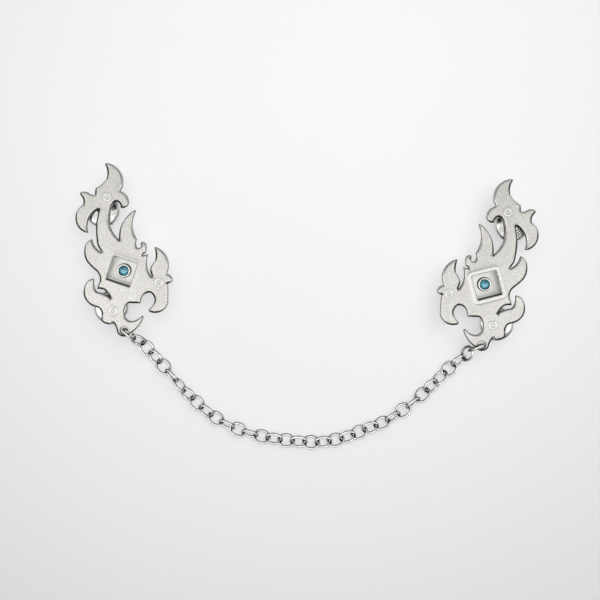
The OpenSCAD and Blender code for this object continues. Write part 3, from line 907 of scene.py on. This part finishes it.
def wings(shape):
    """Two strips with softened edges, curled through an arc."""
    half_t, half_w, r = WING_T / 2, WING_W / 2, WING_ROUND
    section = [(sx * (half_t - r) + r * math.cos(a), sy * (half_w - r) + r * math.sin(a))
               for sx, sy, start in ((1, 1, 0), (-1, 1, 90), (-1, -1, 180), (1, -1, 270))
               for a in np.radians([start, start + 45, start + 90])]
    for way in (1, -1):
        loops = []
        for a in np.radians(np.linspace(*WING_ARC, 29)):
            reach = [WING_R - half_t + u for u, _ in section]
            loops.append([(way * (WING_AT[0] + d * math.cos(a)), way * v, WING_AT[1] + d * math.sin(a))
                          for d, (_, v) in zip(reach, section)])
        caps = [[tuple(np.mean(loop, axis=0))] * len(section) for loop in (loops[0], loops[-1])]
        shape.strip([caps[0]] + loops + [caps[1]], flip=True)


def clutch(side, name, at, turn):
    """A butterfly clutch on the post at a place of the plate, turned about it."""
    shape = Shape("rim", "groove_and_shade", "ridge_highlight")
    profile, marks = clutch_profile()
    shape.lathe(profile[::-1], (0, 0), 96, rim=marks[::-1])
    wear_pan(shape, turn)
    wings(shape)
    x, y, z = np.array(shape.verts).T
    x, y = turned(x, y, turn)
    shape.verts = np.column_stack([at[0] + x, at[1] + y, z])
    obj = shape.build(name + "_clutch_shape", [CLUTCH], side)
    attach(obj, name + "_clutch_body")
    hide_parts(name + "_clutch")


# Links
def solid_frame(node):
    """Centre of a solid's surface, and its ways from the longest to the thinnest."""
    mesh = node.data
    verts = np.array([node.matrix_world @ v.co for v in mesh.vertices]) / MM
    mesh.calc_loop_triangles()
    tri = verts[np.array([t.vertices for t in mesh.loop_triangles])]
    area = np.linalg.norm(np.cross(tri[:, 1] - tri[:, 0], tri[:, 2] - tri[:, 0]), axis=1)
    centre = (tri.mean(axis=1) * area[:, None]).sum(axis=0) / area.sum()
    off = tri - centre
    mid = off.mean(axis=1)
    spread_of = np.einsum("n,nki,nkj->ij", area, off, off)
    spread_of = spread_of + 9 * np.einsum("n,ni,nj->ij", area, mid, mid)
    thin, wide, long = np.linalg.eigh(spread_of)[1].T
    return centre, long, wide, np.cross(long, wide)


def oval_line(per_end=16, per_side=12):
    """Points and outward ways round the middle line of a link, long along X."""
    spots = []
    for start in (0, math.pi):
        c, s = math.cos(start), math.sin(start)
        ends = np.linspace(-OVAL_TURN, OVAL_TURN, per_end, endpoint=False)
        sides = np.linspace(OVAL_TURN, math.pi - OVAL_TURN, per_side, endpoint=False)
        for r, (x0, y0), ways in ((END_R, (END_AT, 0), ends), (SIDE_R, (0, SIDE_AT), sides)):
            for a in ways:
                u, v = math.cos(a), math.sin(a)
                x, y = x0 + r * u, y0 + r * v
                spots.append(((x * c - y * s, x * s + y * c), (u * c - v * s, u * s + v * c)))
    return spots


def chain_link(name):
    """A link's wire, along the solid that it stands for."""
    centre, long, wide, thin = solid_frame(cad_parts[name])
    # Painted shade lies inside the ends, where links meet, and on the wire's sides and underside as it
    # lies
    loops, tone_share = [], []
    for (x, y), (u, v) in oval_line():
        out = long * u + wide * v
        at_end = smooth((abs(x) - 1.3) / 0.9)
        loop = []
        for a in np.arange(WIRE_SIDES) * 2 * math.pi / WIRE_SIDES:
            way = math.cos(a) * out + math.sin(a) * thin
            loop.append(centre + long * x + wide * y + WIRE_R * way)
            link_meeting_shade = 0.97 * at_end * smooth((0.2 - math.cos(a)) / 0.5)
            tone_share.append(max(link_meeting_shade, 0.92 * smooth((0.80 - way[2]) / 0.3)))
        loops.append(loop)
    shape = Shape("rim")
    shape.strip(loops, closed=True, rim=tone_share)
    obj = shape.build(name + "_wire", [WIRE])
    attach(obj, "jewel")
    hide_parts(name)


for side, spec in SIDES.items():
    plate(side)
    stone(side)
    for name, (at, turn) in spec["clutches"].items():
        clutch(side, name, at, turn)
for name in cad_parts:
    if name.startswith("link_"):
        chain_link(name)

# Camera: it looks straight down on a point of the floor, and its picture is shifted so that this
# point lies a third of the way down the picture's middle line
BELOW_CAMERA = (-2.3, 36.4)
CAMERA_H = 218
camera_data = bpy.data.cameras.new("camera")
camera_data.sensor_width = 36.0
camera_data.lens = 37.93
camera_data.shift_y = -1 / 6
camera_data.clip_start = 0.01
camera = bpy.data.objects.new("camera", camera_data)
camera.location = (BELOW_CAMERA[0] * MM, BELOW_CAMERA[1] * MM, CAMERA_H * MM)
bpy.context.scene.collection.objects.link(camera)
bpy.context.scene.camera = camera


# Floor and light, in metres
def sheet(name, middle, half_x, half_y, mat):
    """A level sheet of the studio."""
    x, y, z = middle
    mesh = bpy.data.meshes.new(name)
    mesh.from_pydata([(x - half_x, y - half_y, z), (x + half_x, y - half_y, z),
                      (x + half_x, y + half_y, z), (x - half_x, y + half_y, z)], [], [(0, 1, 2, 3)])
    mesh.materials.append(mat)
    obj = linked(mesh)
    return obj


def off_camera(obj, diffuse=True, glossy=True, shadow=True):
    """Hides a sheet from the camera, and from each other kind of ray that is given as False."""
    obj.visible_camera = False
    obj.visible_diffuse = diffuse
    obj.visible_glossy = glossy
    obj.visible_shadow = shadow


def glow(m, middle, near, far, inner, outer):
    """A strength that falls from inner to outer between two distances from a point."""
    off = m.nodes.new("ShaderNodeVectorMath")
    off.operation = "DISTANCE"
    m.links.new(m.where, off.inputs[0])
    off.inputs[1].default_value = middle
    return m.spread(off.outputs["Value"], inner, outer, near, far, "SMOOTHSTEP")


def lamp(name, tint=(1.0, 0.995, 0.985)):
    """A material that only gives light, with its strength still to be set."""
    m = Nodes(name)
    m.set(Base_Color=(0, 0, 0, 1), Emission_Color=(*tint, 1), Specular_IOR_Level=0.0)
    return m


# Pale floor, which glows as a backlit sheet does, most in the middle
paper = Nodes("pale_floor")
paper_tones = [(0.3, (0.59, 0.59, 0.598)), (0.7, (0.605, 0.605, 0.613))]
paper.use(Base_Color=paper.ramp(paper.noise(6), paper_tones),
          Emission_Strength=glow(paper, (-0.02, 0.012, 0.0), 0.03, 0.28, 0.555, 0.318))
paper.set(Roughness=0.8, Emission_Color=(0.99, 0.99, 1.0, 1))
sheet("floor", (0, 0, -1e-5), 3.0, 3.0, paper.mat)

# Softbox overhead, which only shows as a reflection
soft = lamp("softbox")
soft.use(Emission_Strength=glow(soft, (-0.04, -0.17, 0.5), 0.12, 0.60, 1.74, 0.74))
off_camera(sheet("softbox", (0.0, 0.18, 0.5), 0.75, 0.60, soft.mat), diffuse=False)

# Key light from the upper right, which lights matt surfaces and has no reflection
key = lamp("key_light", tint=(1.0, 1.0, 1.0))
key.use(Emission_Strength=glow(key, (0.20, 0.42, 0.5), 0.15, 0.55, 2.73, 0.96))
off_camera(sheet("key_light", (0.12, 0.38, 0.5), 0.62, 0.50, key.mat), glossy=False)

# On each side a small light and an upright card, which only show as reflections
for way in (1, -1):
    side_light = lamp("side_light")
    side_light.set(Emission_Strength=2.7)
    side_card = lamp("side_card")
    side_card.set(Emission_Strength=1.1)
    light = sheet("side_light", (way * 0.41, -0.10, 0.46), 0.10, 0.11, side_light.mat)
    off_camera(light, diffuse=False, shadow=False)
    card = sheet("side_card", (0, 0, 0), 0.16, 0.28, side_card.mat)
    card.location = (way * 0.55, 0.02, 0.18)
    card.rotation_euler = (0, math.pi / 2, 0)
    off_camera(card, diffuse=False, shadow=False)

# Dark card round the lens, which only shows as a reflection
lens_card = Nodes("camera_card")
lens_card.set(Base_Color=(0.01, 0.01, 0.01, 1), Roughness=1.0)
shade = sheet("camera_card", (BELOW_CAMERA[0] * MM, 0.070, 0.232), 0.085, 0.040, lens_card.mat)
off_camera(shade, diffuse=False, shadow=False)

world = bpy.data.worlds.new("studio")
bpy.context.scene.world = world
world.use_nodes = True
world.node_tree.nodes["Background"].inputs["Color"].default_value = (0.92, 0.94, 1.0, 1)
world.node_tree.nodes["Background"].inputs["Strength"].default_value = 0.45
world.cycles_visibility.diffuse = False
bpy.context.scene.view_settings.view_transform = "Standard"
